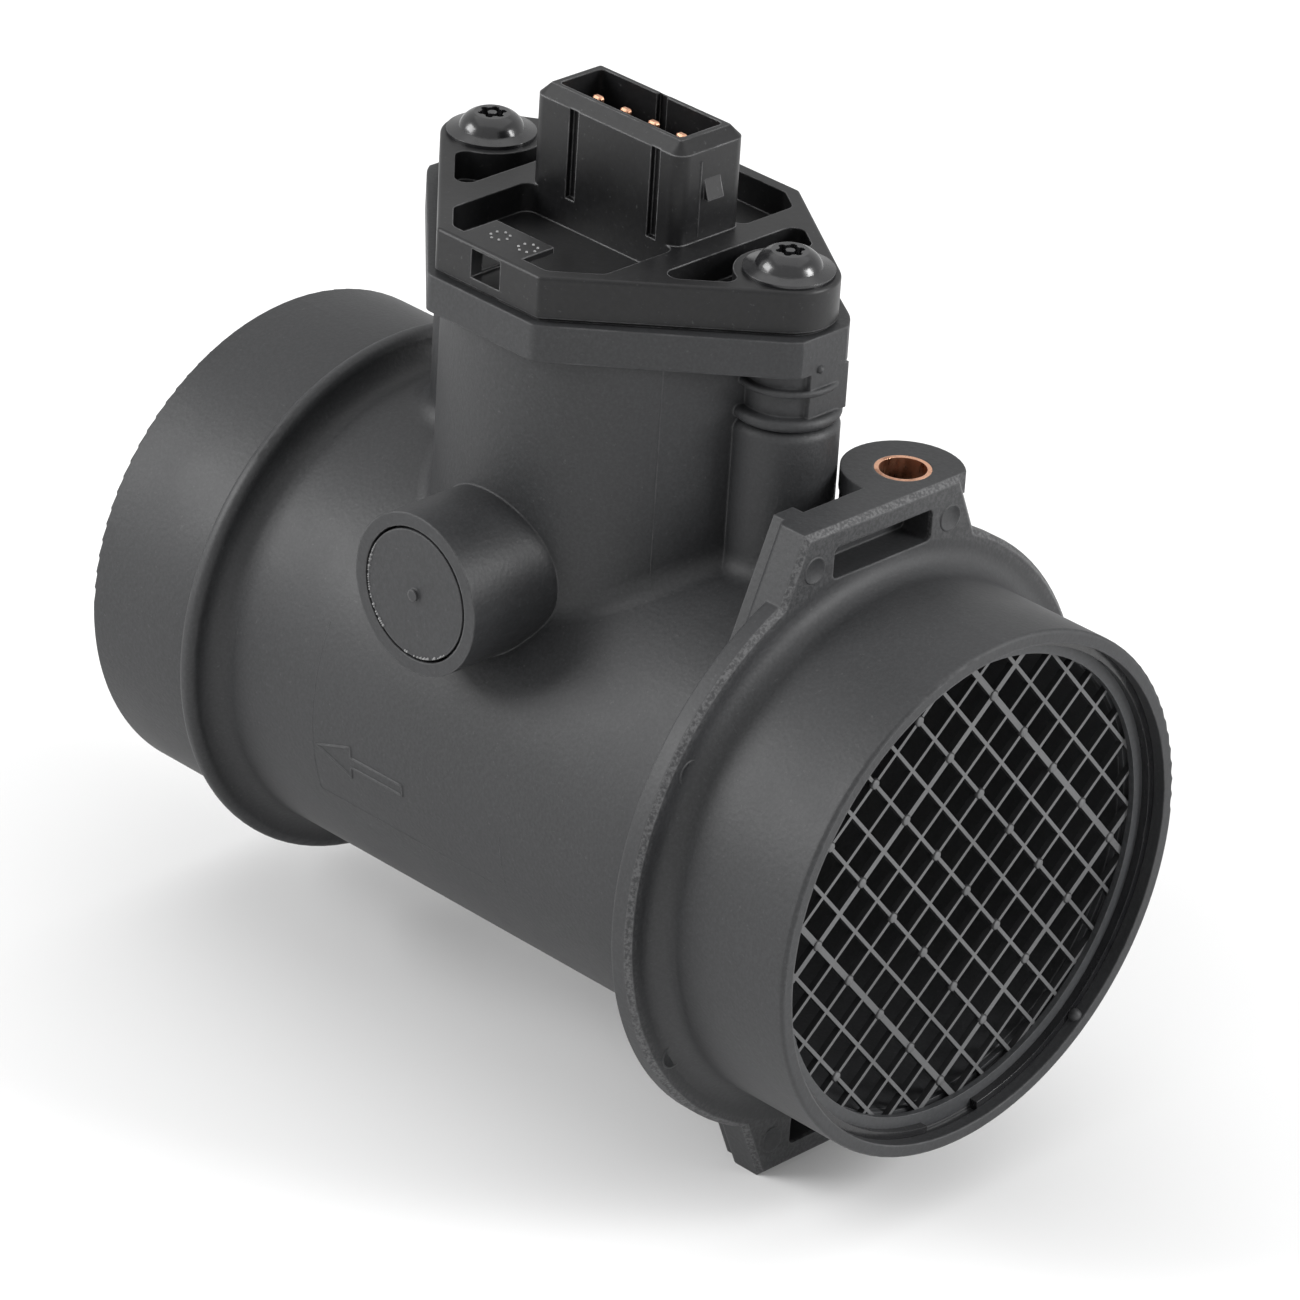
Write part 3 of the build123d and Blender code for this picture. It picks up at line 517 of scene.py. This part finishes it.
# Parting line down the column
PARTING_TURN = radians(52.5)
PARTING_FOOT = 31.0 * MM
PARTING_TOP = 60.4 * MM
PARTING_WIDTH = 0.20 * MM
PARTING_HEIGHT = 0.05 * MM
parting_line = [(PARTING_TURN * COLUMN_R, PARTING_FOOT), (PARTING_TURN * COLUMN_R, PARTING_TOP)]
parting = bmesh.new()
ridge(parting, finely(parting_line, 1.0 * MM), on_column, PARTING_WIDTH, PARTING_HEIGHT)
piece("column_parting_line", parting, housing_plastic)

# Round marks of the ejector pins on the flange and bracket faces, with Y and Z in millimetres
EJECTOR_R = 1.9 * MM
EJECTOR_PLACES = ((-12.3, 41.3), (12.3, 41.0), (-32.3, 19.6), (-32.0, -21.0), (12.3, -41.2), (-12.3, -41.2))
EJECTOR_PROFILE = (
    (EJECTOR_R, -0.05 * MM),
    (EJECTOR_R - 0.06 * MM, 0.10 * MM),
    (EJECTOR_R - 0.24 * MM, 0.10 * MM),
    (EJECTOR_R - 0.34 * MM, 0.015 * MM),
    (0, 0.015 * MM),
)
ejectors = bmesh.new()
for y, z in EJECTOR_PLACES:
    turned(ejectors, Vector((FLANGE_X, y * MM, z * MM)), FORWARD, EJECTOR_PROFILE, sides=32)
piece("ejector_marks", ejectors, housing_plastic)

# Two rings of moulded dots on the cover's shelf, with X and Y of their middles in millimetres
DOT_RINGS = ((-59.5, -21.6), (-54.7, -21.4))
DOT_COUNT = 7
DOT_RING_R = 1.25 * MM
DOT_R = 0.19 * MM
DOT_PROFILE = ((DOT_R, -0.05 * MM), (0.8 * DOT_R, 0.14 * MM), (0, 0.20 * MM))
dots = bmesh.new()
for x, y in DOT_RINGS:
    for i in range(DOT_COUNT):
        angle = 2 * pi * i / DOT_COUNT
        spot = Vector((x * MM + DOT_RING_R * cos(angle), y * MM + DOT_RING_R * sin(angle), COVER_TOP))
        turned(dots, spot, UPWARD, DOT_PROFILE, sides=10)
# The dots' light colour is a painted glint
piece("shelf_dots", dots, scuffed_glint_plastic)

# Burr round the plug in the side stub, with light specks at its lower left and lower right that paint
# glints.
# Each arc has its start, its end and how full of specks it is.
BURR_ARCS = ((radians(150), radians(235), 0.9), (radians(262), radians(315), 0.7))
BURR_STEP = radians(2.2)
BURR_SHARE = 0.8
BURR_SIZES = (0.08, 0.22)
BURR_SINK = 0.46 * MM
plug_centre = (plug_low + plug_high) / 2
plug_r = (plug_high.x - plug_low.x) / 2
rng = random.Random(7)
burr = bmesh.new()
for start, end, full in BURR_ARCS:
    steps = int((end - start) / BURR_STEP)
    for i in range(steps):
        angle = start + (end - start) * i / steps
        if rng.random() > full * BURR_SHARE:
            continue
        size = rng.uniform(*BURR_SIZES) * MM
        from_centre = plug_r - size
        spot = Vector((plug_centre.x + from_centre * cos(angle), plug_low.y + BURR_SINK,
                       plug_centre.z + from_centre * sin(angle)))
        speck = ((size, -0.05 * MM), (0.7 * size, 0.7 * size), (0, 0.9 * size))
        turned(burr, spot, STUB_WARD, speck, sides=7)
piece("plug_burr", burr, scuffed_glint_plastic)

# Nub on the seat's end
SEAT_NUB_PLACE = Vector((SEAT_END_X, -0.7 * MM, 60.9 * MM))
SEAT_NUB_PROFILE = ((0.55 * MM, -0.1 * MM), (0.5 * MM, 0.25 * MM), (0.2 * MM, 0.45 * MM), (0, 0.48 * MM))
seat_nub = bmesh.new()
turned(seat_nub, SEAT_NUB_PLACE, FORWARD, SEAT_NUB_PROFILE, sides=14)
piece("seat_nub", seat_nub, housing_plastic)

# Step line down the inlet end of the connector's shroud
STEP_Y = -3.1 * MM
STEP_FOOT = 72.4 * MM
STEP_TOP = 82.6 * MM
STEP_WIDTH = 0.35 * MM
STEP_HEIGHT = 0.12 * MM
step_points = [(STEP_Y, STEP_FOOT), (STEP_Y, STEP_TOP)]
step_line = bmesh.new()
ridge(step_line, finely(step_points, 1.0 * MM), on_shroud_end, STEP_WIDTH, STEP_HEIGHT)
piece("shroud_step_line", step_line, cover_plastic)


# Floor, light and camera

FLOOR_HALF = 3.0
FLOOR_LOW = (0.79, 0.79, 0.79)
FLOOR_HIGH = (0.82, 0.82, 0.82)
FLOOR_SCALE = 6.0
FLOOR_ROUGHNESS = 0.9
floor_bm = bmesh.new()
bmesh.ops.create_grid(floor_bm, x_segments=1, y_segments=1, size=FLOOR_HALF)
floor_mesh = bpy.data.meshes.new("floor")
floor_bm.to_mesh(floor_mesh)
floor_bm.free()
floor = bpy.data.objects.new("floor", floor_mesh)
floor.location = (0.0, 0.0, cad_bounds[0][2])
bpy.context.scene.collection.objects.link(floor)
floor_paint, floor_tree, floor_shader = new_material("floor_paint")
floor_where = floor_tree.nodes.new("ShaderNodeTexCoord").outputs["Object"]
floor_patches = noise(floor_tree, floor_where, FLOOR_SCALE, 3.0)
floor_tone = ramp(floor_tree, floor_patches, 0.3, 0.7, ((0.0, FLOOR_LOW), (1.0, FLOOR_HIGH)))
floor_tree.links.new(floor_tone, floor_shader.inputs["Base Color"])
floor_shader.inputs["Roughness"].default_value = FLOOR_ROUGHNESS
floor_mesh.materials.append(floor_paint)

WORLD_COLOUR = (1.0, 1.0, 1.0, 1.0)
WORLD_STRENGTH = 0.78
world = bpy.data.worlds.new("studio")
world.use_nodes = True
world.node_tree.nodes["Background"].inputs["Color"].default_value = WORLD_COLOUR
world.node_tree.nodes["Background"].inputs["Strength"].default_value = WORLD_STRENGTH
bpy.context.scene.world = world

# Each lamp has its name, its place, its width and height, all in metres, and its power in watts
LAMPS = (
    ("key", Vector((-0.75, -0.75, 0.55)), 0.6, 0.5, 10.4),
    ("top", Vector((-0.20, 0.20, 1.20)), 1.6, 1.4, 4.0),
    ("rim", Vector((0.80, 0.45, 0.45)), 0.35, 0.45, 9.0),
)
LAMP_TARGET = Vector((-55.0, 0.0, 10.0)) * MM
for name, place, width, height, power in LAMPS:
    light = bpy.data.lights.new(name, "AREA")
    light.shape = "RECTANGLE"
    light.size = width
    light.size_y = height
    light.energy = power
    lamp = bpy.data.objects.new(name, light)
    lamp.location = place
    lamp.rotation_euler = (LAMP_TARGET - place).to_track_quat("-Z", "Y").to_euler()
    bpy.context.scene.collection.objects.link(lamp)

# The camera of the photograph, solved from the circles of the duct
CAMERA_PLACE = Vector((519.24, -598.01, 441.07)) * MM
CAMERA_RIGHT = Vector((0.70250, 0.70939, 0.05705))
CAMERA_UP = Vector((-0.36497, 0.29028, 0.88461))
FOCAL_PIXELS = 7151.29
FRAME_PIXELS = 1300
SENSOR_WIDTH = 36.0
CLIP_NEAR = 0.05
CLIP_FAR = 20.0
camera_data = bpy.data.cameras.new("camera")
camera_data.sensor_width = SENSOR_WIDTH
camera_data.lens = FOCAL_PIXELS / FRAME_PIXELS * SENSOR_WIDTH
camera_data.clip_start = CLIP_NEAR
camera_data.clip_end = CLIP_FAR
camera = bpy.data.objects.new("camera", camera_data)
right = CAMERA_RIGHT.normalized()
back = right.cross(CAMERA_UP).normalized()
up = back.cross(right)
camera_turn = Matrix((right, up, back)).transposed().to_4x4()
camera.matrix_world = Matrix.Translation(CAMERA_PLACE) @ camera_turn
bpy.context.scene.collection.objects.link(camera)
bpy.context.scene.camera = camera
bpy.context.scene.view_settings.view_transform = "Standard"
